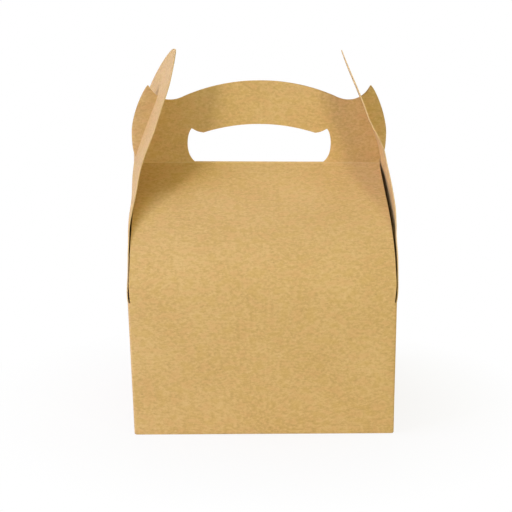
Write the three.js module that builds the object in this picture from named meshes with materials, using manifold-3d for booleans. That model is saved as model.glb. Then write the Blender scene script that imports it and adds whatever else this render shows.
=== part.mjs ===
// A tall cake carton folded from one die-cut sheet of brown kraft board. The front and back walls
// curve inwards above the shoulder, meet on a ridge and stand up together as a carrying handle with
// a hand hole. The side walls go on upwards as pointed flaps, whose slots hook over the horns at the
// ends of the handle. Millimetres, +Z up, front towards -Y, origin at the middle of the underside.
import * as THREE from "three";
import { mergeVertices } from "three/addons/utils/BufferGeometryUtils.js";
import Module from "manifold-3d";

// Board and clearances
const board = 0.5;
const cutGap = 0.4; // kerf of the die between neighbouring free edges
const creaseGap = 0.3; // between a side wall and the flap hinged on it
const plyGap = 0.3; // between the two upright plies of the handle
const slotClearance = 0.35; // between a flap's slot and each face of the handle
const hookClearance = 0.6; // what a slot needs to swing past a horn's tip
const cornerRadius = 0.9; // outside of the four upright creases

// Body
const boxWidth = 130; // along X, outside
const boxDepth = 130; // along Y, outside
const shoulderHeight = 67;

// Roof panel: its angle from upright is roofCurl * t - roofEase * t * t degrees at fraction t
const roofCurl = 175;
const roofEase = 125;
const ridgeRadius = 1.2;
const roofEdgeTrim = 0.15; // what its free edges are cut back, so that the flaps close over them
const roofEdgeFlare = 9; // height over which the edges reach that width above the shoulder
const roofNeck = { trim: 1, drop: 20, clear: 2 }; // cut back further towards the ridge

// Handle, heights above the ridge. A lead is the control point of the curve that meets a place
const crownHeight = 43;
const crownRadius = 100;
const crownHalf = 40; // where the crown's arc runs into the valley beside the horn
const valley = { inner: 46, outer: 54.3, height: 31.5 };
const hornTip = { half: 58.9, height: 40.3 };
const hornTipLead = { half: 62.1, height: 36.9 };
const hornBluntness = 0.3;
const hornWidest = { half: 67.8, height: 15.5 };
const hornLead = { below: 10, above: 8.5 };
const neckHeight = 2.1; // where the horn starts to flare out of the free edge
const neckLead = { out: 1.8, up: 0.5 };

// Hand hole, heights above the ridge
const holeFootHalf = 34.3;
const holeFootLead = { half: 37.2, height: 2.4 };
const holeWidest = { half: 38.2, height: 9.7 };
const holeLead = { below: 3.9, above: 3.3 };
const holeEar = { half: 36, height: 17.8 };
const holeEarLead = { half: 37.5, height: 16 };
const holeDip = { half: 29.8, height: 15.5 };
const holeDipLead = { half: 33, height: 16.1 };
const holeCrownHeight = 20.1;

// Side flaps, heights above the crease
const flapBow = 9.5; // degrees, half the angle of the outward bow between the shoulder and the slot
const flapLean = 22; // degrees from upright above the slot's foot
const hookBend = 20; // length of the bend that turns the bow into the lean
const flapRise = 121.2;
const flapFootLead = { inset: 4, height: 22 };
const tongueFoot = { half: 26.6, height: 64 };
const tongueFootLead = { below: { half: 30.5, height: 50 }, above: { half: 24.8, height: 71 } };
const tongueTop = { half: 21.9, height: 103 };
const tongueTopLead = { below: { half: 26, height: 89 }, above: { half: 20.3, height: 107 } };
const tip = { half: 3, drop: 0.4 };
const tipLead = { half: 10.5, drop: 5 };
const slotFootRise = 1.5; // foot of the slot above the ridge
const toeIn = { left: 12.5, right: 6 }; // degrees that each flap's front edge turns inwards
const twist = { start: 32, end: 82 }; // the turn grows between these heights

// Locking base
const baseInset = 1.5;
const outerFlapReach = 66;
const outerFlapTaper = 7;
const lockTongue = { half: 31, length: 17, taper: 6 };
const sideFlapReach = 48;
const sideFlapTaper = 17;
const innerFlapReach = 69;
const innerFlapTaper = 12;
const lockNotch = { half: 33, depth: 5.5 };

// Glued side seam
const seamWidth = 17;
const seamTaper = 5;
const seamMargin = 3;

// Derived places
const halfWidth = boxWidth / 2;
const halfDepth = boxDepth / 2;
const roofHalf = halfWidth - roofEdgeTrim; // half width of the roof panels
const neckHalf = halfWidth - roofNeck.trim;
const flapHalf = halfDepth - board - cutGap; // half width of the flaps at their crease
const plyOffset = (plyGap + board) / 2;
const slotHalf = plyGap / 2 + board + slotClearance;
const creaseHeight = shoulderHeight + creaseGap;
const hingeHeight = shoulderHeight + creaseGap / 2;
const overlap = 1; // how far a shape that is cut to an outline reaches past it
const curveSteps = 26;
const arcSteps = 12;
const foldSteps = 5;

const wasm = await Module();
wasm.setup();

function solidOf(geometry) {
  const bare = geometry.clone();
  bare.deleteAttribute("normal");
  bare.deleteAttribute("uv");
  const merged = mergeVertices(bare, 1e-4);
  return new wasm.Manifold(
    new wasm.Mesh({
      numProp: 3,
      vertProperties: merged.attributes.position.array,
      triVerts: new Uint32Array(merged.index.array),
    }),
  );
}

function geometryOf(solid) {
  const { numProp, numVert, vertProperties, triVerts } = solid.getMesh();
  const positions = new Float32Array(numVert * 3);
  for (let i = 0; i < numVert; i++) {
    positions.set(vertProperties.subarray(i * numProp, i * numProp + 3), i * 3);
  }
  const geometry = new THREE.BufferGeometry();
  geometry.setAttribute("position", new THREE.BufferAttribute(positions, 3));
  geometry.setIndex(new THREE.BufferAttribute(new Uint32Array(triVerts), 1));
  geometry.computeVertexNormals();
  return geometry;
}

// A shape drawn in X and Y, pushed up from one height to another
function slab(shape, from, to) {
  const geometry = new THREE.ExtrudeGeometry(shape, {
    depth: to - from,
    bevelEnabled: false,
    curveSegments: arcSteps,
  });
  geometry.translate(0, 0, from);
  return solidOf(geometry);
}

// A shape drawn as (X, Z), pushed along Y
function alongY(shape, from, to) {
  const geometry = new THREE.ExtrudeGeometry(shape, {
    depth: to - from,
    bevelEnabled: false,
    curveSegments: arcSteps,
  });
  geometry.rotateX(Math.PI / 2);
  geometry.translate(0, to, 0);
  return solidOf(geometry);
}

// A shape drawn as (Y, Z), pushed along X
function alongX(shape, from, to) {
  const geometry = new THREE.ExtrudeGeometry(shape, {
    depth: to - from,
    bevelEnabled: false,
    curveSegments: arcSteps,
  });
  geometry.applyMatrix4(
    new THREE.Matrix4().makeBasis(
      new THREE.Vector3(0, 1, 0),
      new THREE.Vector3(0, 0, 1),
      new THREE.Vector3(1, 0, 0),
    ),
  );
  geometry.translate(from, 0, 0);
  return solidOf(geometry);
}

const radians = THREE.MathUtils.degToRad;
const eased = (t) => THREE.MathUtils.smoothstep(t, 0, 1);
const mirrored = (solid, flip) =>
  solidOf(flippedGeometry(geometryOf(solid), flip));

// A mirror image keeps its faces outwards because each triangle is turned round
function flippedGeometry(geometry, flip) {
  geometry.applyMatrix4(new THREE.Matrix4().makeScale(flip.x, flip.y, flip.z));
  const index = geometry.index.array;
  for (let i = 0; i < index.length; i += 3) {
    [index[i + 1], index[i + 2]] = [index[i + 2], index[i + 1]];
  }
  return geometry;
}

// The thickness of the board laid half on each side of a centre line
function sheetSection(line) {
  const left = [];
  const right = [];
  line.forEach((place, i) => {
    const before = line[Math.max(i - 1, 0)];
    const after = line[Math.min(i + 1, line.length - 1)];
    const along = after.clone().sub(before).normalize();
    const side = new THREE.Vector2(-along.y, along.x).multiplyScalar(board / 2);
    left.push(place.clone().add(side));
    right.push(place.clone().sub(side));
  });
  return new THREE.Shape([...right, ...left.reverse()]);
}

// Follows a line whose angle from upright is known at each step
function walk(line, length, steps, angleAt, inwards) {
  for (let i = 0; i < steps; i++) {
    const angle = radians(angleAt((i + 0.5) / steps));
    const step = new THREE.Vector2(
      inwards * Math.sin(angle),
      Math.cos(angle),
    ).multiplyScalar(length / steps);
    line.push(line.at(-1).clone().add(step));
  }
  return line;
}

// Both halves of an outline from the points of its right half, foot first
function bothHalves(right) {
  const left = right.map((p) => new THREE.Vector2(-p.x, p.y)).reverse();
  return [...right, ...left];
}

const roofAngle = (t) => roofCurl * t - roofEase * t * t;
const roofLength = (() => {
  const unit = walk([new THREE.Vector2()], 1, curveSteps, roofAngle, 1).at(-1);
  const ridgeReach = ridgeRadius * (1 - Math.cos(radians(roofAngle(1))));
  return (halfDepth - board / 2 - plyOffset - ridgeReach) / unit.x;
})();

// Centre line of the front sheet as (Y, Z): wall, curved roof panel, ridge and upright ply
function frontLine() {
  const line = [
    new THREE.Vector2(-halfDepth + board / 2, 0),
    new THREE.Vector2(-halfDepth + board / 2, shoulderHeight),
  ];
  walk(line, roofLength, curveSteps, roofAngle, 1);
  const ridgeAngle = roofAngle(1);
  const bend = ridgeRadius * radians(ridgeAngle);
  walk(line, bend, foldSteps, (t) => ridgeAngle * (1 - t), 1);
  return line;
}

const ridge = frontLine().at(-1);
const ridgeHeight = ridge.y;
const slotFoot = ridgeHeight + slotFootRise;

// Right half of the hand hole, from its foot up to the middle of its crown
function handHolePoints() {
  const path = new THREE.Path();
  path.moveTo(holeFootHalf, 0);
  path.bezierCurveTo(
    holeFootLead.half,
    holeFootLead.height,
    holeWidest.half,
    holeWidest.height - holeLead.below,
    holeWidest.half,
    holeWidest.height,
  );
  path.bezierCurveTo(
    holeWidest.half,
    holeWidest.height + holeLead.above,
    holeEarLead.half,
    holeEarLead.height,
    holeEar.half,
    holeEar.height,
  );
  path.quadraticCurveTo(
    holeDipLead.half,
    holeDipLead.height,
    holeDip.half,
    holeDip.height,
  );
  const sagitta = holeCrownHeight - holeDip.height;
  const radius = (holeDip.half ** 2 + sagitta ** 2) / (2 * sagitta);
  path.absarc(
    0,
    holeCrownHeight - radius,
    radius,
    Math.acos(holeDip.half / radius),
    Math.PI / 2,
    false,
  );
  return path.getPoints(arcSteps);
}

// Right edge of the handle from its neck up to the middle of its crown
function handleEdge() {
  const path = new THREE.Path();
  path.moveTo(neckHalf, neckHeight);
  path.bezierCurveTo(
    neckHalf + neckLead.out,
    neckHeight + neckLead.up,
    hornWidest.half,
    hornWidest.height - hornLead.below,
    hornWidest.half,
    hornWidest.height,
  );
  path.bezierCurveTo(
    hornWidest.half,
    hornWidest.height + hornLead.above,
    hornTipLead.half,
    hornTipLead.height,
    hornTip.half + hornBluntness,
    hornTip.height - hornBluntness,
  );
  path.quadraticCurveTo(
    hornTip.half,
    hornTip.height,
    hornTip.half - hornBluntness,
    hornTip.height - hornBluntness,
  );
  const crownDrop =
    crownRadius - Math.sqrt(crownRadius ** 2 - crownHalf ** 2);
  path.bezierCurveTo(
    valley.outer,
    valley.height,
    valley.inner,
    valley.height,
    crownHalf,
    crownHeight - crownDrop,
  );
  path.absarc(
    0,
    crownHeight - crownRadius,
    crownRadius,
    Math.acos(crownHalf / crownRadius),
    Math.PI / 2,
    false,
  );
  return path.getPoints(arcSteps);
}

const raised = (points, by) =>
  points.map((p) => new THREE.Vector2(p.x, p.y + by));

// Outline of the front and back sheets seen from the front, with the hand hole
function frontOutline() {
  const edge = [
    new THREE.Vector2(halfWidth - cornerRadius, 0),
    new THREE.Vector2(halfWidth - cornerRadius, shoulderHeight),
    new THREE.Vector2(roofHalf, shoulderHeight + roofEdgeFlare),
    new THREE.Vector2(roofHalf, ridgeHeight - roofNeck.drop),
    new THREE.Vector2(neckHalf, ridgeHeight - roofNeck.clear),
    ...raised(handleEdge(), ridgeHeight),
  ];
  const shape = new THREE.Shape(bothHalves(edge));
  shape.holes.push(new THREE.Path(bothHalves(raised(handHolePoints(), ridgeHeight))));
  return shape;
}

function frontSheet() {
  const line = frontLine();
  line.push(new THREE.Vector2(ridge.x, ridgeHeight + crownHeight + overlap));
  const reach = hornWidest.half + overlap;
  const bent = alongX(sheetSection(line), -reach, reach);
  return bent.intersect(alongY(frontOutline(), -boxDepth, boxDepth));
}

function roundedSquare(width, depth, radius) {
  const x = width / 2;
  const y = depth / 2;
  const path = new THREE.Shape();
  path.moveTo(x, -y + radius);
  path.lineTo(x, y - radius);
  path.absarc(x - radius, y - radius, radius, 0, Math.PI / 2, false);
  path.lineTo(-x + radius, y);
  path.absarc(-x + radius, y - radius, radius, Math.PI / 2, Math.PI, false);
  path.lineTo(-x, -y + radius);
  path.absarc(-x + radius, -y + radius, radius, Math.PI, Math.PI * 1.5, false);
  path.lineTo(x - radius, -y);
  path.absarc(x - radius, -y + radius, radius, Math.PI * 1.5, Math.PI * 2, false);
  path.closePath();
  return path;
}

function bodyWalls() {
  const ring = roundedSquare(boxWidth, boxDepth, cornerRadius);
  const inside = roundedSquare(
    boxWidth - 2 * board,
    boxDepth - 2 * board,
    cornerRadius - board,
  );
  ring.holes.push(inside);
  return slab(ring, 0, shoulderHeight);
}

const point = (x, y) => new THREE.Vector2(x, y);

// The base is four flaps in layers: outer flap, two side flaps, inner flap, and the tongue of the
// outer flap, which comes up through the inner flap's notch and lies on top
function lockingBase() {
  const wallY = halfDepth - board / 2;
  const wallX = halfWidth - board / 2;
  const outerEnd = -wallY + outerFlapReach;
  const outer = bothHalves([
    point(halfWidth - baseInset, -wallY),
    point(halfWidth - baseInset - outerFlapTaper, outerEnd),
  ]);
  const side = [
    point(wallX, -halfDepth + baseInset),
    point(wallX, halfDepth - baseInset),
    point(wallX - sideFlapReach, halfDepth - baseInset - sideFlapTaper),
    point(wallX - sideFlapReach, -halfDepth + baseInset + sideFlapTaper),
  ];
  const innerEnd = wallY - innerFlapReach;
  const notchEnd = innerEnd + lockNotch.depth;
  const inner = bothHalves([
    point(lockNotch.half, notchEnd),
    point(lockNotch.half, innerEnd),
    point(halfWidth - baseInset - innerFlapTaper, innerEnd),
    point(halfWidth - baseInset, wallY),
  ]);
  const tongue = bothHalves([
    point(lockTongue.half, outerEnd - board),
    point(lockTongue.half - lockTongue.taper, outerEnd + lockTongue.length),
  ]);
  const riser = bothHalves([
    point(lockTongue.half, outerEnd - board),
    point(lockTongue.half, outerEnd),
  ]);
  const layers = [
    slab(new THREE.Shape(outer), 0, board),
    slab(new THREE.Shape(side), board, 2 * board),
    mirrored(slab(new THREE.Shape(side), board, 2 * board), { x: -1, y: 1, z: 1 }),
    slab(new THREE.Shape(inner), 2 * board, 3 * board),
    slab(new THREE.Shape(tongue), 3 * board, 4 * board),
    slab(new THREE.Shape(riser), 0, 4 * board),
  ];
  return layers.reduce((all, layer) => all.add(layer));
}

// The seam flap of the back wall, glued inside the left wall
function gluedSeam() {
  const inner = halfDepth - board / 2;
  const shape = new THREE.Shape([
    point(inner - seamWidth, seamMargin + seamTaper),
    point(inner, seamMargin),
    point(inner, shoulderHeight - seamMargin),
    point(inner - seamWidth, shoulderHeight - seamMargin - seamTaper),
  ]);
  return alongX(shape, -halfWidth + board / 2, -halfWidth + 2 * board);
}

// Centre line of a flap as (X, Z): an outward bow whose chord is upright, the hook bend, the lean
function flapLine() {
  const line = [point(halfWidth - board / 2, creaseHeight)];
  const chord = slotFoot - creaseHeight;
  const bowLength = (chord * radians(flapBow)) / Math.sin(radians(flapBow));
  walk(line, bowLength, arcSteps, (t) => flapBow * (2 * t - 1), -1);
  const turn = flapLean - flapBow;
  walk(line, hookBend, arcSteps, (t) => flapBow + turn * eased(t), -1);
  const left = creaseHeight + flapRise + overlap - line.at(-1).y;
  return walk(line, left / Math.cos(radians(flapLean)), foldSteps, () => flapLean, -1);
}

// Height at which a flap is as far from its hinge as the horn's tip, plus the clearance
function slotTop(line) {
  const hinge = point(halfWidth, hingeHeight);
  const horn = point(hornTip.half, ridgeHeight + hornTip.height);
  const reach = horn.distanceTo(hinge) + hookClearance;
  const beyond = line.findIndex((p) => p.distanceTo(hinge) > reach);
  const a = line[beyond - 1];
  const b = line[beyond];
  const share =
    (reach - a.distanceTo(hinge)) / (b.distanceTo(hinge) - a.distanceTo(hinge));
  return a.y + (b.y - a.y) * share;
}

// Outline of a flap seen from the side as (Y, Z), with its slot
function flapOutline(topOfSlot) {
  const edge = new THREE.Path();
  edge.moveTo(flapHalf, 0);
  edge.bezierCurveTo(
    flapHalf - flapFootLead.inset,
    flapFootLead.height,
    tongueFootLead.below.half,
    tongueFootLead.below.height,
    tongueFoot.half,
    tongueFoot.height,
  );
  edge.bezierCurveTo(
    tongueFootLead.above.half,
    tongueFootLead.above.height,
    tongueTopLead.below.half,
    tongueTopLead.below.height,
    tongueTop.half,
    tongueTop.height,
  );
  edge.bezierCurveTo(
    tongueTopLead.above.half,
    tongueTopLead.above.height,
    tipLead.half,
    flapRise - tipLead.drop,
    tip.half,
    flapRise - tip.drop,
  );
  edge.quadraticCurveTo(tip.half / 2, flapRise, 0, flapRise);
  const half = edge.getPoints(arcSteps).slice(0, -1);
  const outline = bothHalves(raised(half, creaseHeight));
  outline.splice(half.length, 0, point(0, creaseHeight + flapRise));
  const shape = new THREE.Shape(outline);
  const slot = new THREE.Path();
  slot.absarc(0, slotFoot + slotHalf, slotHalf, Math.PI, Math.PI * 2, false);
  slot.absarc(0, topOfSlot - slotHalf, slotHalf, 0, Math.PI, false);
  shape.holes.push(slot);
  return shape;
}

// One side flap. Up from twist.start its front edge turns inwards, by the full angle at twist.end
function lockFlap(side, angle) {
  const line = flapLine();
  const bent = alongY(sheetSection(line), -halfDepth, halfDepth);
  const cutter = alongX(flapOutline(slotTop(line)), 0, boxWidth);
  const geometry = geometryOf(bent.intersect(cutter));
  const places = geometry.attributes.position;
  const turnHeight = twist.end - twist.start;
  for (let i = 0; i < places.count; i++) {
    const height = places.getZ(i) - creaseHeight - twist.start;
    const turn = Math.tan(radians(angle)) * eased(height / turnHeight);
    places.setX(i, places.getX(i) + turn * places.getY(i));
  }
  return side < 0 ? flippedGeometry(geometry, { x: -1, y: 1, z: 1 }) : geometry;
}

const kraft = { color: 0xc8a468, roughness: 0.92, metalness: 0 };

function named(name, geometry) {
  geometry.computeVertexNormals();
  const mesh = new THREE.Mesh(geometry, new THREE.MeshStandardMaterial(kraft));
  mesh.name = name;
  return mesh;
}

function carton() {
  const front = frontSheet();
  const back = mirrored(front, { x: 1, y: -1, z: 1 });
  return [front, back, lockingBase(), gluedSeam()].reduce(
    (all, piece) => all.add(piece),
    bodyWalls(),
  );
}

const cakeBox = new THREE.Group();
cakeBox.add(named("carton", geometryOf(carton())));
cakeBox.add(named("left_lock_flap", lockFlap(-1, toeIn.left)));
cakeBox.add(named("right_lock_flap", lockFlap(1, toeIn.right)));

export default cakeBox;
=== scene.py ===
import math

import bpy
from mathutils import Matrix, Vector, noise


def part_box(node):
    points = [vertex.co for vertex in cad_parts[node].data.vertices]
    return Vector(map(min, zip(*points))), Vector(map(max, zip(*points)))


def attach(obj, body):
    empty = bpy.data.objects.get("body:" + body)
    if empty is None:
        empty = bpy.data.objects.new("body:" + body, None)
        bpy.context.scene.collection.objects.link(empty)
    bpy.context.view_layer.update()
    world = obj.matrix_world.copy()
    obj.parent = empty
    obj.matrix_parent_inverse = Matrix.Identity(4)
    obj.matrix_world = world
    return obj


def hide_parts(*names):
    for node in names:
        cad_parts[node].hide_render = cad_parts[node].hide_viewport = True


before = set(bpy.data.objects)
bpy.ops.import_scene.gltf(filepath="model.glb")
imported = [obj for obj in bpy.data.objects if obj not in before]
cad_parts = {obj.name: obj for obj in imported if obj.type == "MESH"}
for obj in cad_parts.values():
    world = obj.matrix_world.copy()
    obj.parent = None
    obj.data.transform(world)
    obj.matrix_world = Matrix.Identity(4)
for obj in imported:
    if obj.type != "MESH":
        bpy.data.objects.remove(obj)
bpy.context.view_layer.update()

# a tall cake box of kraft board: one folded sheet and its two hooked side flaps, in metres
mm = 0.001
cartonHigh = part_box("carton")[1]
flapLow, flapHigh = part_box("right_lock_flap")


# small helpers for the mesh work

def deselectAll():
    for obj in list(bpy.context.selected_objects):
        obj.select_set(False)


def makeActive(obj):
    deselectAll()
    obj.select_set(True)
    bpy.context.view_layer.objects.active = obj


def applyAll(obj):
    makeActive(obj)
    for modifier in list(obj.modifiers):
        bpy.ops.object.modifier_apply(modifier=modifier.name)


def bezier(a, b, c, d, count):
    out = []
    for i in range(1, count + 1):
        t = i / count
        k = [(1 - t) ** 3, 3 * t * (1 - t) ** 2, 3 * t * t * (1 - t), t ** 3]
        out.append(tuple(k[0] * a[j] + k[1] * b[j] + k[2] * c[j] + k[3] * d[j] for j in (0, 1)))
    return out


def archTo(half, height, top, count):
    # an arc over the middle, from (half, height) up to (0, top)
    rise = top - height
    radius = (half * half + rise * rise) / (2 * rise)
    start = math.asin(half / radius)
    turns = [start * (1 - i / count) for i in range(1, count + 1)]
    return [(radius * math.sin(a), top - radius + radius * math.cos(a)) for a in turns]


def bothHalves(right):
    # the right half of an outline and its mirror image, with a point on the middle line kept once
    left = [(-x, y) for x, y in reversed(right)]
    if abs(right[-1][0]) < 1e-9:
        left = left[1:]
    return right + left


def walkLine(start, pieces, count=120):
    # follows a line whose angle from upright is known: pieces are (length, angle in degrees at t)
    x, z, run = start[0], start[1], 0.0
    table = [(run, x, z)]
    for length, angleAt in pieces:
        for i in range(count):
            turn = math.radians(angleAt((i + 0.5) / count))
            x += math.sin(turn) * length / count
            z += math.cos(turn) * length / count
            run += length / count
            table.append((run, x, z))
    return table


def lookUp(table, value, key=0):
    # a row (run, x, z) of a walked line, worked out between the two rows round value
    low, high = 0, len(table) - 1
    while high - low > 1:
        middle = (low + high) // 2
        if table[middle][key] <= value:
            low = middle
        else:
            high = middle
    a, b = table[low], table[high]
    share = (value - a[key]) / (b[key] - a[key])
    return [a[i] + (b[i] - a[i]) * share for i in range(3)]


def ease(t):
    t = min(max(t, 0.0), 1.0)
    return t * t * (3 - 2 * t)


def fade(value, start, length):
    # rises softly from 0 at start to 1 at start + length
    return ease((value - start) / length)


def steps(start, end, pitch):
    # evenly spaced places from start to end, about a pitch apart
    count = max(1, round((end - start) / pitch))
    return [start + (end - start) * i / count for i in range(count + 1)]


def cutSheet(name, outlines):
    # a die line drawn as a flat curve: the first loop is the sheet, the others are its holes
    line = bpy.data.curves.new(name, "CURVE")
    line.dimensions = "2D"
    line.fill_mode = "BOTH"
    for loop in outlines:
        spline = line.splines.new("POLY")
        spline.points.add(len(loop) - 1)
        for knot, (x, y) in zip(spline.points, loop):
            knot.co = (x, y, 0, 1)
        spline.use_cyclic_u = True
    sheet = bpy.data.objects.new(name, line)
    bpy.context.scene.collection.objects.link(sheet)
    makeActive(sheet)
    bpy.ops.object.convert(target="MESH")
    sheet = bpy.context.view_layer.objects.active
    for material in boardFaces:  # outside, inside and cut edge
        sheet.data.materials.append(material)
    return sheet


def scoreSheet(sheet, across, along):
    # bisects that let the board bend: lines at each x of across and each y of along
    makeActive(sheet)
    bpy.ops.object.mode_set(mode="EDIT")
    bpy.ops.mesh.select_all(action="SELECT")
    bpy.ops.mesh.remove_doubles(threshold=0.00001)
    for x in across:
        bpy.ops.mesh.select_all(action="SELECT")
        bpy.ops.mesh.bisect(plane_co=(x, 0, 0), plane_no=(1, 0, 0), threshold=0.00001)
    for y in along:
        bpy.ops.mesh.select_all(action="SELECT")
        bpy.ops.mesh.bisect(plane_co=(0, y, 0), plane_no=(0, 1, 0), threshold=0.00001)
    bpy.ops.mesh.select_all(action="SELECT")
    bpy.ops.mesh.remove_doubles(threshold=0.00002)
    bpy.ops.object.mode_set(mode="OBJECT")


def markSheet(sheet, shift):
    # the finish follows the board round its folds, so each vertex keeps its place on the flat sheet
    flat = sheet.data.attributes.new("sheet", "FLOAT_VECTOR", "POINT")
    for vertex, value in zip(sheet.data.vertices, flat.data):
        value.vector = vertex.co + Vector(shift)


def finishBoard(sheet):
    # the folded middle surface gets the board's thickness and softened cut edges
    makeActive(sheet)
    bpy.ops.object.mode_set(mode="EDIT")
    bpy.ops.mesh.select_all(action="SELECT")
    bpy.ops.mesh.normals_make_consistent(inside=False)
    bpy.ops.object.mode_set(mode="OBJECT")
    wall = sheet.modifiers.new("board", "SOLIDIFY")
    wall.thickness = sheetSize["board"]
    wall.offset = 0
    wall.use_even_offset = True
    wall.material_offset = 1  # the inside
    wall.material_offset_rim = 2  # the cut edge
    edge = sheet.modifiers.new("cut edge", "BEVEL")
    edge.width = sheetSize["edgeBevel"]
    edge.segments = 2
    edge.limit_method = "ANGLE"
    edge.angle_limit = math.radians(60)
    edge.material = 2
    applyAll(sheet)
    bpy.ops.object.shade_smooth_by_angle(angle=math.radians(35))


# finishes: a wire wraps a socket so that shader maths reads as sums

class Wire:
    def __init__(self, tree, socket=None):
        self.tree = tree
        self.socket = socket

    def node(self, kind, settings=None, sockets=None, out=0):
        made = self.tree.nodes.new(kind)
        for key, value in (settings or {}).items():
            setattr(made, key, value)
        for key, value in (sockets or {}).items():
            if isinstance(value, Wire):
                self.tree.links.new(value.socket, made.inputs[key])
            else:
                made.inputs[key].default_value = value
        return Wire(self.tree, made.outputs[out]) if made.outputs else None

    def maths(self, operation, other=0.0, swapped=False):
        first, second = (other, self) if swapped else (self, other)
        return self.node("ShaderNodeMath", {"operation": operation}, {0: first, 1: second})

    def __add__(self, other):
        return self.maths("ADD", other)

    __radd__ = __add__

    def __sub__(self, other):
        return self.maths("SUBTRACT", other)

    def __rsub__(self, other):
        return self.maths("SUBTRACT", other, True)

    def __mul__(self, other):
        return self.maths("MULTIPLY", other)

    __rmul__ = __mul__

    def clamped(self):
        return self.node("ShaderNodeClamp", {}, {"Value": self})

    def between(self, low, high):
        # 0 at low, 1 at high
        return ((self - low) * (1 / (high - low))).clamped()

    def mix(self, first, second):
        # colours: first where this wire is 0, second where it is 1
        return self.node("ShaderNodeMix", {"data_type": "RGBA"}, {0: self, 6: first, 7: second}, 2)


def srgb(red, green, blue):
    def linear(value):
        value /= 255
        return value / 12.92 if value <= 0.04045 else ((value + 0.055) / 1.055) ** 2.4
    return (linear(red), linear(green), linear(blue), 1)


kraftLook = {
    "pale": srgb(230, 202, 145),
    "middle": srgb(216, 183, 122),
    "deep": srgb(198, 163, 101),
    "warm": srgb(219, 177, 120),
    "golden": srgb(213, 180, 110),
    "fleck": srgb(160, 118, 66),
    "lightFleck": srgb(236, 212, 164),
    "core": srgb(228, 202, 154),
    "cloud": 42.0,  # the noises' scales, in waves a metre
    "mottle": 480.0,
    "grain": 1000.0,
    "flecks": 620.0,
    "stretch": (0.62, 1.0, 1.0),  # the fibres lie along the sheet
    "shares": (0.14, 0.28, 0.58),  # of cloud, mottle and grain in the tone
    "tint": 0.42,  # how far a patch turns warm or golden
    "fleckEdge": (0.12, 0.3),
    "fleckShare": 0.22,
    "insideShift": (0.31, 0.47, 0.2),  # the inside shows another stretch of paper
    # painted highlight along the ridge crease: how far it turns towards the pale core colour
    "creaseHighlightShare": 0.4,
    "creaseHighlightEdge": (0.14 * mm, 0.42 * mm),  # painted highlight: the ridge crease is painted paler this far to each side, for the light that its bead catches
    "roughness": 0.6,
    "specular": 0.25,
    "sheen": 0.06,
    "bump": 0.12,
    "bumpDepth": 0.1 * mm,
}


def kraftMaterial(name, cutEdge=False, inside=False):
    k = kraftLook
    material = bpy.data.materials.new(name)
    material.use_nodes = True
    tree = material.node_tree
    tree.nodes.clear()
    wire = Wire(tree)
    if cutEdge:
        place = wire.node("ShaderNodeTexCoord", {}, {}, 3)
    else:
        place = wire.node("ShaderNodeAttribute", {"attribute_name": "sheet"}, {}, 1)
    if inside:
        place = wire.node("ShaderNodeVectorMath", {"operation": "ADD"}, {0: place, 1: k["insideShift"]})
    grained = wire.node("ShaderNodeMapping", {}, {"Vector": place, "Scale": k["stretch"]})

    def noiseAt(at, scale, detail, roughness):
        return wire.node("ShaderNodeTexNoise", {}, {"Vector": at, "Scale": scale, "Detail": detail,
                                                    "Roughness": roughness})

    cloud = noiseAt(place, k["cloud"], 2.0, 0.5).between(0.3, 0.7)
    mottle = noiseAt(grained, k["mottle"], 3.0, 0.6).between(0.3, 0.7)
    fine = noiseAt(grained, k["grain"], 3.0, 0.7).between(0.25, 0.75)
    tint = noiseAt(grained, k["mottle"] * 0.5, 2.0, 0.5)
    cloudShare, mottleShare, fineShare = k["shares"]
    tone = cloud * cloudShare + mottle * mottleShare + fine * fineShare
    colour = tone.between(0.2, 0.55).mix(k["deep"], k["middle"])
    colour = (tone.between(0.45, 0.85) * 0.8).mix(colour, k["pale"])
    colour = (tint.between(0.5, 0.64) * k["tint"]).mix(colour, k["warm"])
    colour = ((1 - tint.between(0.36, 0.5)) * k["tint"]).mix(colour, k["golden"])
    near = wire.node("ShaderNodeTexVoronoi", {}, {"Vector": grained, "Scale": k["flecks"]}, 0)
    cell = wire.node("ShaderNodeTexVoronoi", {}, {"Vector": grained, "Scale": k["flecks"]}, 1)
    chance = wire.node("ShaderNodeSeparateColor", {}, {"Color": cell}, 0)
    dot = 1 - near.between(*k["fleckEdge"])
    colour = (dot * chance.between(0.9, 0.92) * k["fleckShare"]).mix(colour, k["fleck"])
    colour = (dot * (1 - chance.between(0.06, 0.08)) * k["fleckShare"]).mix(colour, k["lightFleck"])
    if cutEdge:
        colour = (mottle * 0.3 + 0.5).mix(colour, k["core"])
    else:
        along = wire.node("ShaderNodeSeparateXYZ", {}, {"Vector": place}, 1)
        # painted highlight: a pale line along the ridge crease, standing in for the light that the crease's
        # bead catches
        paintedCreaseHighlight = 1 - (along - ridgeCrease).maths("ABSOLUTE").between(*k["creaseHighlightEdge"])
        colour = (paintedCreaseHighlight * k["creaseHighlightShare"]).mix(colour, k["core"])
    if inside:
        colour = (cloud * 0.15 + 0.15).mix(colour, k["pale"])
    height = fine * 0.6 + mottle * 0.4
    bump = wire.node("ShaderNodeBump", {}, {"Strength": k["bump"], "Distance": k["bumpDepth"],
                                            "Height": height})
    shader = wire.node("ShaderNodeBsdfPrincipled", {}, {"Base Color": colour, "Normal": bump,
                                                       "Roughness": mottle * 0.08 + k["roughness"],
                                                       "Specular IOR Level": k["specular"],
                                                       "Sheen Weight": k["sheen"], "Sheen Roughness": 0.5})
    wire.node("ShaderNodeOutputMaterial", {}, {"Surface": shader})
    return material


# the folded sheet: what the frame knows comes from the frame, and angles are in degrees

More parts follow.
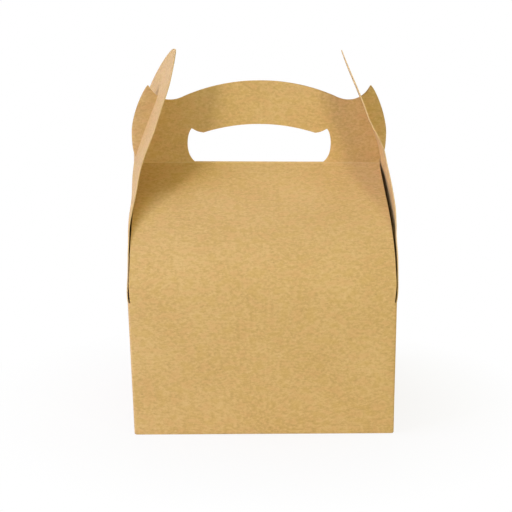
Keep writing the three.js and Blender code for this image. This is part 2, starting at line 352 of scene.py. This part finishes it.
sheetSize = {
    "board": 0.5 * mm,
    "edgeBevel": 0.09 * mm,
    "half": cartonHigh.y,  # the base is square
    "shoulder": flapLow.z - 0.3 * mm,
    "cornerRadius": 1.3 * mm,
    "flare": (0.7 * mm, 0.45 * mm),  # how far the left and right front corners lean out at the shoulder
    "footTuck": (1.7 * mm, -0.8 * mm),  # and how far they are drawn in at the foot
    "frontFrom": (20 * mm, 40 * mm),  # the lean starts this far in front of the middle and grows over this
    "flareFade": 16 * mm,  # the lean is gone this far above the shoulder
    "footRadius": 0.6 * mm,  # of the crease round the base
    "roofCurl": 175.0,  # the roof's angle from upright grows by this over its length
    "roofEase": 125.0,  # and this much of it comes back towards the ridge
    "ridgeRadius": 1.2 * mm,
    "plyMiddle": 0.4 * mm,  # from the box's middle to the middle of a handle ply
    "plyLength": 0.1,  # longer than the handle is high
    "roofEdge": 0.15 * mm,  # the roof's edges lie this far inside the walls
    "roofFlare": 9 * mm,  # and reach that width at this height above the shoulder
    "neck": (0.4 * mm, 12 * mm, 2 * mm),  # trim at the ridge, and where below it the trim starts and is full
    "bead": 0.22 * mm,  # the rib that the crease tool leaves inside a fold
    "beadHalf": 0.7 * mm,
    "plySlip": 0.65 * mm,  # the back ply stands askew of the front one, by this at slipReach
    "slipReach": 60 * mm,
    "slipFrom": (4 * mm, 30 * mm),  # above the ridge
    "wave": 0.16 * mm,
    "waveLength": 34 * mm,
}


def roofAngle(t):
    return sheetSize["roofCurl"] * t - sheetSize["roofEase"] * t * t


def roofTable():
    # (run, distance in from the wall, height): roof panel, ridge bend and upright ply
    s = sheetSize
    last = roofAngle(1)
    unit = walkLine((0, 0), [(1, roofAngle)])[-1]
    bendReach = s["ridgeRadius"] * (1 - math.cos(math.radians(last)))
    length = (s["half"] - s["board"] / 2 - s["plyMiddle"] - bendReach) / unit[1]
    bend = s["ridgeRadius"] * math.radians(last)
    table = walkLine((0, s["shoulder"]), [(length, roofAngle), (bend, lambda t: last * (1 - t))])
    run, x, z = table[-1]
    table.append((run + s["plyLength"], x, z + s["plyLength"]))
    return length, bend, table


roofLength, ridgeBend, roofLine = roofTable()
ridgeRun = sheetSize["shoulder"] + roofLength + ridgeBend  # along the sheet from the base
ridgeCrease = ridgeRun - ridgeBend / 2
ridgeHeight = lookUp(roofLine, roofLength + ridgeBend)[2]
print("ridge at", round(ridgeHeight / mm, 2), "mm, crown at", round(cartonHigh.z / mm, 2))

boardFaces = [kraftMaterial("kraftOutside"), kraftMaterial("kraftInside", inside=True),
              kraftMaterial("kraftCutEdge", cutEdge=True)]
print("materials made")


# the handle: x out from the middle, heights above the ridge

handleSize = {
    "crown": cartonHigh.z - ridgeHeight,
    "crownHalf": 40 * mm,
    "crownRadius": 100 * mm,
    "valley": (46 * mm, 54.3 * mm, 31.5 * mm),  # its two leads' x, and their height
    "tip": (58.9 * mm, 40.3 * mm),
    "tipLead": (62.1 * mm, 36.9 * mm),
    "blunt": 0.3 * mm,
    "widest": (cartonHigh.x - 0.05 * mm, 15.5 * mm),
    "hornLead": (10 * mm, 8.5 * mm),
    "neck": 2.1 * mm,
    "neckLead": (1.8 * mm, 0.5 * mm),
    "holeFoot": 34.3 * mm,
    "holeFootLead": (37.2 * mm, 2.4 * mm),
    "holeWidest": (38.2 * mm, 9.7 * mm),
    "holeLead": (3.9 * mm, 3.3 * mm),
    "holeEar": (36 * mm, 17.8 * mm),
    "holeEarLead": (37.5 * mm, 16 * mm),
    "holeDip": (29.8 * mm, 15.5 * mm),
    "holeDipLead": (33 * mm, 16.1 * mm),
    "holeCrown": 20.1 * mm,
}


def handleEdge():
    # right edge of the handle, from its neck up to the middle of the crown
    h = handleSize
    neck = sheetSize["half"] - sheetSize["neck"][0]
    tipX, tipZ = h["tip"]
    wideX, wideZ = h["widest"]
    blunt = h["blunt"]
    edge = [(neck, h["neck"])]
    edge += bezier(edge[-1], (neck + h["neckLead"][0], h["neck"] + h["neckLead"][1]),
                   (wideX, wideZ - h["hornLead"][0]), (wideX, wideZ), 20)
    edge += bezier(edge[-1], (wideX, wideZ + h["hornLead"][1]), h["tipLead"],
                   (tipX + blunt, tipZ - blunt), 24)
    edge += [(tipX + blunt * 0.3, tipZ - blunt * 0.5), (tipX - blunt * 0.3, tipZ - blunt * 0.5),
             (tipX - blunt, tipZ - blunt)]
    drop = h["crownRadius"] - math.sqrt(h["crownRadius"] ** 2 - h["crownHalf"] ** 2)
    inner, outer, low = h["valley"]
    edge += bezier(edge[-1], (outer, low), (inner, low), (h["crownHalf"], h["crown"] - drop), 26)
    return edge + archTo(h["crownHalf"], h["crown"] - drop, h["crown"], 26)


def handHole():
    # right half of the hand hole, which stands on the ridge
    h = handleSize
    wideX, wideZ = h["holeWidest"]
    earX, earZ = h["holeEar"]
    dipX, dipZ = h["holeDip"]
    below, above = h["holeLead"]
    edge = [(h["holeFoot"], 0)]
    edge += bezier(edge[-1], h["holeFootLead"], (wideX, wideZ - below), (wideX, wideZ), 14)
    edge += bezier(edge[-1], (wideX, wideZ + above), h["holeEarLead"], (earX, earZ), 12)
    edge += bezier(edge[-1], h["holeDipLead"], h["holeDipLead"], (dipX, dipZ), 8)
    return edge + archTo(dipX, dipZ, h["holeCrown"], 24)


# the flat sheet: x runs round the walls from the front's middle, y runs up from the base

flatHalf = sheetSize["half"] - sheetSize["cornerRadius"]
cornerArc = math.pi / 2 * (sheetSize["cornerRadius"] - sheetSize["board"] / 2)
panelPitch = 2 * flatHalf + cornerArc

baseSize = {
    "inset": 1.5 * mm,
    "rawGap": 0.4 * mm,  # from the corner to the left wall's raw edge at the back
    "outerReach": 66 * mm,
    "outerTaper": 7 * mm,
    "tongueHalf": 31 * mm,
    "tongueLength": 17 * mm,
    "tongueTaper": 6 * mm,
    "sideReach": 48 * mm,
    "sideTaper": 17 * mm,
    "innerReach": 69 * mm,
    "innerTaper": 12 * mm,
    "notchHalf": 33 * mm,
    "notchDepth": 5.5 * mm,
    "layerRun": 9 * mm,  # length over which a flap dips from its crease into its own layer
    "layerGap": 0.02 * mm,
    "tongueLayers": 3,  # the tongue climbs over this many boards
    "tongueClimb": (-2 * mm, 5 * mm),
    "seam": 17 * mm,
    "seamTaper": 5 * mm,
    "seamGap": 0.03 * mm,
    "seamMargin": 3 * mm,
}


def roofHeightRun(height):
    return sheetSize["shoulder"] + lookUp(roofLine, height, 2)[0]


def panelTop(k):
    # top edge of a panel from its right to its left corner
    s = sheetSize
    middle = k * panelPitch
    if k % 2:
        return [(middle + flatHalf, s["shoulder"]), (middle - flatHalf, s["shoulder"])]
    trim, drop, clear = s["neck"]
    wide = s["half"] - s["roofEdge"]
    right = [(flatHalf, s["shoulder"]), (wide, roofHeightRun(s["shoulder"] + s["roofFlare"])),
             (wide, roofHeightRun(ridgeHeight - drop)),
             (s["half"] - trim, roofHeightRun(ridgeHeight - clear))]
    right += [(x, ridgeRun + z) for x, z in handleEdge()]
    return [(middle + x, y) for x, y in bothHalves(right)]


def panelFoot(k):
    # bottom edge of a panel from its left to its right corner, with its base flap
    b = baseSize
    half = flatHalf - b["inset"]
    if k == 0:
        right = [(half, 0), (half - b["outerTaper"], -b["outerReach"]), (b["tongueHalf"], -b["outerReach"]),
                 (b["tongueHalf"] - b["tongueTaper"], -b["outerReach"] - b["tongueLength"])]
    elif k == 2:
        right = [(half, 0), (half - b["innerTaper"], -b["innerReach"]), (b["notchHalf"], -b["innerReach"]),
                 (b["notchHalf"], -b["innerReach"] + b["notchDepth"])]
    else:
        right = [(half, 0), (half - b["sideTaper"], -b["sideReach"])]
    return [(k * panelPitch + x, y) for x, y in reversed(bothHalves(right))]


def netOutlines():
    b = baseSize
    shoulder = sheetSize["shoulder"]
    start = -1.5 * panelPitch + cornerArc / 2 + b["rawGap"]
    end = 2.5 * panelPitch + cornerArc / 2
    seam = end + b["seam"]
    foot = [(start, 0)]
    for k in (-1, 0, 1, 2):
        foot += panelFoot(k)
    tab = [(end - cornerArc, 0), (end, b["seamMargin"]), (seam, b["seamMargin"] + b["seamTaper"]),
           (seam, shoulder - b["seamMargin"] - b["seamTaper"]), (end, shoulder - b["seamMargin"])]
    top = []
    for k in (2, 1, 0, -1):
        top += panelTop(k)
    top[-1] = (start, shoulder)
    holes = [[(k * panelPitch + x, ridgeRun + z) for x, z in bothHalves(handHole())] for k in (0, 2)]
    return [foot + tab + top] + holes


def wallPoint(run, flat):
    # place and outward normal on the middle of the board at a run round the walls
    k = 2 * math.floor(run / panelPitch / 2 + 0.5) if flat else math.floor(run / panelPitch + 0.5)
    local = run - k * panelPitch
    middle = sheetSize["half"] - sheetSize["board"] / 2
    radius = sheetSize["cornerRadius"] - sheetSize["board"] / 2
    side = 1 if local > 0 else -1
    if flat or abs(local) <= flatHalf:  # the roof panels and handles stay flat to their edges
        x, y, nx, ny = local, -middle, 0.0, -1.0
    else:
        turn = min((abs(local) - flatHalf) / radius, math.pi / 2)
        over = max(0.0, abs(local) - flatHalf - radius * math.pi / 2)
        x = side * (flatHalf + radius * math.sin(turn))
        y = -flatHalf - radius * math.cos(turn) + over
        nx, ny = side * math.sin(turn), -math.cos(turn)
    c, s = [(1, 0), (0, 1), (-1, 0), (0, -1)][k % 4]
    return Vector((c * x - s * y, s * x + c * y, 0)), Vector((c * nx - s * ny, s * nx + c * ny, 0)), k


def frontShare(y):
    return fade(-y, *sheetSize["frontFrom"])


def foldNet(sheet):
    # each vertex of the flat sheet goes to its place on the folded box
    s = sheetSize
    b = baseSize
    seamStart = 2.5 * panelPitch - cornerArc / 2
    layers = {0: 0, 1: 1, -1: 1, 2: 2}  # boards under each panel's base flap
    foot = s["board"] / 2 + s["footRadius"]
    for vertex in sheet.data.vertices:
        run, up = vertex.co.x, vertex.co.y
        place, normal, k = wallPoint(run, up > s["shoulder"] + 0.01 * mm)
        if run > seamStart:  # the glued tab goes inside the left wall
            place.x += (s["board"] + b["seamGap"]) * fade(run, seamStart, cornerArc)
        if up < foot:
            turn = min((foot - up) / s["footRadius"], math.pi / 2)
            beyond = max(0.0, foot - up - s["footRadius"] * math.pi / 2)
            place -= normal * (s["footRadius"] * (1 - math.cos(turn)) + beyond)
            lift = layers.get(k, 0) * fade(beyond, 0, b["layerRun"])
            if k == 0:
                lift += b["tongueLayers"] * fade(beyond - b["outerReach"], *b["tongueClimb"])
            place.z = foot - s["footRadius"] * math.sin(turn) + lift * (s["board"] + b["layerGap"])
        elif up <= s["shoulder"]:
            place.z = up
        else:
            _, inwards, height = lookUp(roofLine, up - s["shoulder"])
            place -= normal * inwards
            place.z = height
            rib = max(0.0, 1 - ((up - ridgeCrease) / s["beadHalf"]) ** 2)
            place += normal * s["bead"] * rib * rib
            if k == 2:
                above = fade(height - ridgeHeight, *s["slipFrom"])
                place.z += s["plySlip"] * above * place.x / s["slipReach"]
        side = 0 if place.x < 0 else 1
        low = min(place.z / s["shoulder"], 1.0) - fade(place.z, s["shoulder"], s["flareFade"])
        lean = s["flare"][side] * max(low, 0.0) - s["footTuck"][side] * max(1 - place.z / s["shoulder"], 0.0)
        share = frontShare(place.y) * min(abs(place.x) / s["half"], 1.0)
        place.x += (2 * side - 1) * lean * share
        vertex.co = place


def ruffle(sheet, amount, scale, keep):
    # the board is never quite flat: long soft waves, faded out where keep says so
    normals = [v.normal.copy() for v in sheet.data.vertices]
    shift = Vector((7, 3, 1))  # the finer wave starts elsewhere
    for vertex, normal in zip(sheet.data.vertices, normals):
        wave = noise.noise(vertex.co / scale) + 0.4 * noise.noise(vertex.co / (scale * 0.4) + shift)
        share, bias = keep(vertex.co)
        vertex.co += normal * (wave * share - bias) * amount


cartonCalm = {
    "foot": (2 * mm, 14 * mm),  # the waves grow over these heights
    "ends": (50 * mm, 14 * mm),  # and get weaker this far from the middle
    "endLoss": 0.75,
    "crease": (mm, 8 * mm),  # they grow again away from the ridge
    "creaseShare": 0.15,
    "handle": 0.4,
    "wallFade": 20 * mm,
}


def cartonWaves(p):
    # how much of the waviness each place of the carton shows, and how far the walls keep inwards for it
    c = cartonCalm
    rise = fade(p.z, *c["foot"])
    ends = 1 - c["endLoss"] * fade(abs(p.x), *c["ends"])
    crease = c["creaseShare"] + (1 - c["creaseShare"]) * fade(abs(p.z - ridgeHeight), *c["crease"])
    share = rise * ends * crease * (c["handle"] if p.z > ridgeHeight else 1.0)
    return share, share * (1 - fade(p.z, sheetSize["shoulder"], c["wallFade"]))


scorePitch = {
    # how far apart the bisects lie on each stretch of board
    "panel": 5 * mm,
    "seam": 4 * mm,
    "base": 4 * mm,
    "tongueClimb": mm,
    "baseCrease": 1.5 * mm,
    "wall": 4.5 * mm,
    "roof": 2 * mm,
    "bead": 0.15 * mm,
    "handle": 3.5 * mm,
    "flapAcross": 4 * mm,
    "flapSlot": 2 * mm,
    "flapUp": 2.2 * mm,
    "bends": 5,  # pieces to a corner or a base crease
}


def makeCarton():
    s, b, pitch = sheetSize, baseSize, scorePitch
    bends = pitch["bends"]
    sheet = cutSheet("cartonSheet", netOutlines())
    across = [-1.5 * panelPitch + cornerArc * (i / bends - 0.5) for i in range(1, bends)]
    for k in (-1, 0, 1, 2):
        middle = k * panelPitch
        across += steps(middle - flatHalf, middle + flatHalf, pitch["panel"])
        across += [middle + flatHalf + cornerArc * i / bends for i in range(1, bends)]
    seam = 2.5 * panelPitch + cornerArc / 2
    across += steps(seam, seam + b["seam"] - mm, pitch["seam"])
    foot = s["board"] / 2 + s["footRadius"]
    arc = s["footRadius"] * math.pi / 2
    beadReach = s["beadHalf"] + 0.2 * mm
    along = steps(-b["innerReach"] - 16 * mm, -b["layerRun"] - mm, pitch["base"])
    along += steps(-b["outerReach"] - 4 * mm, -b["outerReach"] + 3 * mm, pitch["tongueClimb"])
    along += steps(-b["layerRun"], foot - arc, pitch["baseCrease"])
    along += [foot - arc * i / bends for i in range(0, bends)]
    along += steps(2 * mm, s["shoulder"] - mm, pitch["wall"])
    along += steps(s["shoulder"], ridgeRun - ridgeBend - mm, pitch["roof"])
    along += steps(ridgeCrease - beadReach, ridgeCrease + beadReach, pitch["bead"])
    along += steps(ridgeRun + 2 * mm, ridgeRun + handleSize["crown"], pitch["handle"])
    scoreSheet(sheet, across, along)
    markSheet(sheet, (0, 0, 0))
    foldNet(sheet)
    ruffle(sheet, s["wave"], s["waveLength"], cartonWaves)
    finishBoard(sheet)
    print("carton sheet:", len(sheet.data.polygons), "faces")
    return sheet


# side flaps: drawn as seen from the side, with x as the depth and y as the height

flapSize = {
    "lip": 0.2 * mm,  # the flap reaches this much lower than in the frame, to close on its crease
    "bow": 9.5,  # degrees, as are the other angles here
    "lean": 22.0,
    "hookBend": 20 * mm,  # length of the bend at the ridge's height
    "straight": 75 * mm,  # longer than the flap is above its bend
    "half": flapHigh.y,
    "footLead": (0.8 * mm, 26 * mm),
    "tongueFoot": (26.6 * mm, 64 * mm),
    "tongueFootLead": ((30.4 * mm, 51 * mm), (24.8 * mm, 71 * mm)),
    "tongueTop": (21.9 * mm, 103 * mm),
    "tongueTopLead": ((26 * mm, 89 * mm), (20.3 * mm, 107 * mm)),
    "tip": (4 * mm, 0.4 * mm),  # half its width, and how far that lies below the top
    "tipLead": (13.5 * mm, 4.4 * mm),
    "rise": flapHigh.z - flapLow.z - 0.15 * mm,  # the leaning board's edge takes up the rest
    "slotFoot": 1.5 * mm,
    "slotHalf": 0.78 * mm,
    "slit": (163.5 * mm, 0.1 * mm),  # above this height the slot is only a slit, which a horn cuts into
    "hookClearance": 0.6 * mm,
    "hingeDrop": 0.15 * mm,  # from the flap's foot down to its crease
    "wave": 0.12 * mm,
    "waveLength": 30 * mm,
    "calmEnd": 12 * mm,  # the waves fade out this far from the foot and the tip
    "inset": 0.1 * mm,  # the flap keeps this far inwards, for the waves
}

# how each flap is bent by hand: a pair is where a change starts and the length that it takes

flapBend = {
    "twist": (32 * mm, 50 * mm),  # above the flap's foot
    "backFrom": (135 * mm, 30 * mm),
    "pinchUp": (67 * mm, 21 * mm),
    "pinchDown": (92 * mm, 20 * mm),
    "pinchDepth": 30 * mm,
    "curlUp": (80 * mm, 16 * mm),
    "curlDown": (128 * mm, 34 * mm),
    "curlDepth": (-4 * mm, 14 * mm),  # in front of the roof's edge
    "swellHalf": 30 * mm,
    "swayFrom": (160 * mm, 25 * mm),
    "left": {
        "toeIn": 12.5,
        "backTurn": 5.0,  # the half behind the slot stands out more
        "pinch": 1.2 * mm,  # the front of the bow lies closer to the roof's edge
        "curl": 1.5 * mm,  # the free edge turns in over the roof
        "swell": 2.0 * mm,  # the middle stands out below the ridge
        "swellUp": (107 * mm, 18 * mm),
        "swellDown": (127 * mm, 20 * mm),
        "swellMiddle": -12 * mm,
        "reach": 68.7 * mm,  # and stays within this
        "sway": 1.0 * mm,  # the top leans in less, or more where this is negative
    },
    "right": {
        "toeIn": 6.0,
        "backTurn": 0.0,
        "pinch": 0.7 * mm,
        "curl": 1.4 * mm,
        "swell": 3.2 * mm,
        "swellUp": (94 * mm, 18 * mm),
        "swellDown": (136 * mm, 20 * mm),
        "swellMiddle": -26 * mm,
        "reach": 67.3 * mm,
        "sway": -0.9 * mm,
    },
}


def flapTable():
    # (run, x, z) of the middle of the board: outward bow, hook bend, straight lean
    f = flapSize
    chord = ridgeHeight + f["slotFoot"] - flapLow.z
    bow = math.radians(f["bow"])
    turn = f["lean"] - f["bow"]
    foot = (sheetSize["half"] - sheetSize["board"] / 2, flapLow.z)
    pieces = [(chord * bow / math.sin(bow), lambda t: -f["bow"] * (2 * t - 1)),
              (f["hookBend"], lambda t: -(f["bow"] + turn * ease(t))),
              (f["straight"], lambda t: -f["lean"])]
    return walkLine(foot, pieces)


flapLine = flapTable()


def slotTop():
    # high enough for the horn's tip to pass as the flap turns about its crease
    f = flapSize
    hingeX, hingeZ = sheetSize["half"], flapLow.z - f["hingeDrop"]
    tipX, tipZ = handleSize["tip"]
    reach = math.hypot(tipX - hingeX, ridgeHeight + tipZ - hingeZ) + f["hookClearance"]
    return next(z for _, x, z in flapLine if math.hypot(x - hingeX, z - hingeZ) > reach)


def flapOutlines():
    f = flapSize
    tipHalf, tipDrop = f["tip"]
    rise = f["rise"]
    edge = [(f["half"], -f["lip"]), (f["half"], 0)]
    edge += bezier(edge[-1], (f["half"] - f["footLead"][0], f["footLead"][1]), f["tongueFootLead"][0],
                   f["tongueFoot"], 34)
    edge += bezier(edge[-1], f["tongueFootLead"][1], f["tongueTopLead"][0], f["tongueTop"], 24)
    edge += bezier(edge[-1], f["tongueTopLead"][1], (f["tipLead"][0], rise - f["tipLead"][1]),
                   (tipHalf, rise - tipDrop), 22)
    edge += [(tipHalf * 0.5, rise - tipDrop * 0.25), (0, rise)]
    outline = [(x, y + flapLow.z) for x, y in bothHalves(edge)]
    foot, half = ridgeHeight + f["slotFoot"], f["slotHalf"]
    top, slit = f["slit"]
    turns = [math.pi * i / 8 for i in range(9)]
    slot = [(half * math.cos(a), foot + half - half * math.sin(a)) for a in reversed(turns)]
    high = slotTop()
    slot += [(half, top - mm), (slit, top), (slit, high), (-slit, high), (-slit, top), (-half, top - mm)]
    return [outline, slot]


def flapWaves(p):
    end = flapSize["calmEnd"]
    return fade(p.z, flapLow.z, end) * fade(flapHigh.z - p.z, 0, end), 0.0


def hump(z, up, down):
    return fade(z, *up) * (1 - fade(z, *down))


def flapInwards(y, z, own):
    # how far the pinch, the curled free edge and the sway draw the flap inwards
    f, bend = flapSize, flapBend
    roofPlace = lookUp(roofLine, min(z, ridgeHeight), 2)[1] - sheetSize["half"]
    pinched = own["pinch"] * hump(z, bend["pinchUp"], bend["pinchDown"]) * fade(-y, 0, bend["pinchDepth"])
    curled = own["curl"] * hump(z, bend["curlUp"], bend["curlDown"]) * fade(roofPlace - y, *bend["curlDepth"])
    held = f["inset"] * fade(z, flapLow.z, f["calmEnd"])
    return pinched + curled + (held - own["sway"] * fade(z, *bend["swayFrom"]))


def flapBulge(y, z, own):
    across = max(0.0, 1 - ((y - own["swellMiddle"]) / flapBend["swellHalf"]) ** 2)
    return own["swell"] * hump(z, own["swellUp"], own["swellDown"]) * across


def bendFlap(sheet, side, own):
    # each vertex of the flat flap goes to its place beside the box
    bend = flapBend
    flare = sheetSize["flare"][0 if side < 0 else 1]
    toeIn, backTurn = (math.tan(math.radians(own[key])) for key in ("toeIn", "backTurn"))
    for vertex in sheet.data.vertices:
        y, z = vertex.co.x, vertex.co.y
        x = lookUp(flapLine, max(z, flapLow.z), 2)[1]
        turn = toeIn * fade(z - flapLow.z, *bend["twist"])
        if y > 0:
            turn += backTurn * fade(z, *bend["backFrom"])
        x += flare * frontShare(y) * (1 - fade(z, flapLow.z, sheetSize["flareFade"]))
        x += turn * y - flapInwards(y, z, own)
        bulge = flapBulge(y, z, own)
        room = max(own["reach"] - x, 0.1 * mm)
        x += bulge / (1 + (bulge / room) ** 4) ** 0.25  # eased off where there is less room than bulge
        vertex.co = Vector((side * x, y, z))


def makeFlap(side, hand):
    f, pitch = flapSize, scorePitch
    name = hand + "FlapSheet"
    sheet = cutSheet(name, flapOutlines())
    edge = f["half"] - 2 * mm
    across = steps(-edge, -6 * mm, pitch["flapAcross"]) + steps(-3 * mm, 3 * mm, pitch["flapSlot"])
    across += steps(6 * mm, edge, pitch["flapAcross"])
    scoreSheet(sheet, across, steps(flapLow.z, flapHigh.z - mm, pitch["flapUp"]))
    markSheet(sheet, (side * 0.6, 0.5, 0))  # each flap shows its own stretch of paper
    bendFlap(sheet, side, flapBend[hand])
    ruffle(sheet, f["wave"], f["waveLength"], flapWaves)
    finishBoard(sheet)
    print(name + ":", len(sheet.data.polygons), "faces")
    return sheet


# the three sheets, each riding on the body that it belongs to

for piece, body, node in ((makeCarton(), "box", "carton"),
                          (makeFlap(-1, "left"), "left_flap", "left_lock_flap"),
                          (makeFlap(1, "right"), "right_flap", "right_lock_flap")):
    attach(piece, body)
    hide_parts(node)
print("pieces placed")


# studio: white floor and backdrop, lamps to the sides, above and behind, a camera on a long lens

studio = {
    "floorSize": 3.0,
    "floorDrop": 0.1 * mm,
    "floorWhite": 0.9,
    "floorFade": (0.07, 0.16),  # metres from the middle over which the shadow fades out
    "floorGlow": 0.86,  # how much of the floor is plain white near the box
    "cameraPlace": (-20.93 * mm, -558.31 * mm, 182.47 * mm),
    "cameraElevation": 10.593,
    "cameraAzimuth": -1.935,
    "cameraRoll": -0.362,
    "focal": 1044.14,  # in pixels of a frame 512 wide; the camera's angles are in degrees
    "aim": (0, 0, 0.095),
    "lamps": [
        # name, azimuth from the front, elevation, distance, size, power, colour
        ("leftKey", -52, 8, 0.9, 0.15, 2.95, (1.0, 0.96, 0.84)),
        ("leftSide", -75, 15, 0.9, 0.5, 2.2, (0.2, 0.15, 1.0)),
        ("leftHigh", -70, 60, 1.3, 0.6, 6.0, (0.7, 0.75, 1.0)),
        ("rightKey", 39, 4, 0.9, 0.2, 2.1, (1.0, 0.95, 0.55)),
        ("top", 0, 85, 1.3, 0.9, 4.8, (1.0, 0.82, 0.3)),
        ("backFill", 180, 30, 1.3, 0.9, 5.6, (1.0, 0.97, 0.9)),
    ],
    "world": 0.12,
    "worldColour": (1.0, 0.95, 0.85, 1),
}


def makeFloor():
    deselectAll()
    bpy.ops.mesh.primitive_plane_add(size=studio["floorSize"], location=(0, 0, -studio["floorDrop"]))
    floor = bpy.context.object
    floor.name = "floor"
    material = bpy.data.materials.new("floorWhite")
    material.use_nodes = True
    tree = material.node_tree
    tree.nodes.clear()
    wire = Wire(tree)
    seen = wire.node("ShaderNodeLightPath", {}, {}, 0)
    place = wire.node("ShaderNodeTexCoord", {}, {}, 3)
    away = wire.node("ShaderNodeVectorMath", {"operation": "LENGTH"}, {0: place}, 1)
    near, white = studio["floorGlow"], studio["floorWhite"]
    share = seen * (away.between(*studio["floorFade"]) * (1 - near) + near)
    lit = wire.node("ShaderNodeBsdfDiffuse", {}, {"Color": (white, white, white, 1)})
    glow = wire.node("ShaderNodeEmission", {}, {"Color": (1, 1, 1, 1), "Strength": 1.0})
    mixed = wire.node("ShaderNodeMixShader", {}, {0: share, 1: lit, 2: glow})
    wire.node("ShaderNodeOutputMaterial", {}, {"Surface": mixed})
    floor.data.materials.append(material)


def makeWorld():
    world = bpy.data.worlds.new("studioWorld")
    bpy.context.scene.world = world
    world.use_nodes = True
    tree = world.node_tree
    tree.nodes.clear()
    wire = Wire(tree)
    camera, glossy = (wire.node("ShaderNodeLightPath", {}, {}, out) for out in (0, 3))
    seen = (camera + glossy).clamped()
    soft = wire.node("ShaderNodeBackground", {}, {"Color": studio["worldColour"],
                                                  "Strength": studio["world"]})
    white = wire.node("ShaderNodeBackground", {}, {"Color": (1, 1, 1, 1), "Strength": 1.0})
    both = wire.node("ShaderNodeMixShader", {}, {0: seen, 1: soft, 2: white})
    wire.node("ShaderNodeOutputWorld", {}, {"Surface": both})


def makeLamps():
    for name, azimuth, elevation, distance, size, power, colour in studio["lamps"]:
        lamp = bpy.data.lights.new(name, "AREA")
        lamp.shape = "SQUARE"
        lamp.size = size
        lamp.energy = power
        lamp.color = colour
        holder = bpy.data.objects.new(name, lamp)
        bpy.context.scene.collection.objects.link(holder)
        a, e = math.radians(azimuth), math.radians(elevation)
        towards = Vector((math.sin(a) * math.cos(e), -math.cos(a) * math.cos(e), math.sin(e)))
        holder.location = Vector(studio["aim"]) + towards * distance
        holder.rotation_euler = towards.to_track_quat("Z", "Y").to_euler()


def makeCamera():
    data = bpy.data.cameras.new("camera")
    data.sensor_width = 36
    data.lens = 36 * studio["focal"] / 512
    data.clip_start = 0.01
    data.clip_end = 20
    camera = bpy.data.objects.new("camera", data)
    bpy.context.scene.collection.objects.link(camera)
    camera.location = studio["cameraPlace"]
    camera.rotation_euler = (math.radians(90 - studio["cameraElevation"]), math.radians(studio["cameraRoll"]),
                             math.radians(studio["cameraAzimuth"]))
    bpy.context.scene.camera = camera


makeFloor()
makeWorld()
makeLamps()
makeCamera()
bpy.context.scene.view_settings.view_transform = "Standard"
print("studio ready")
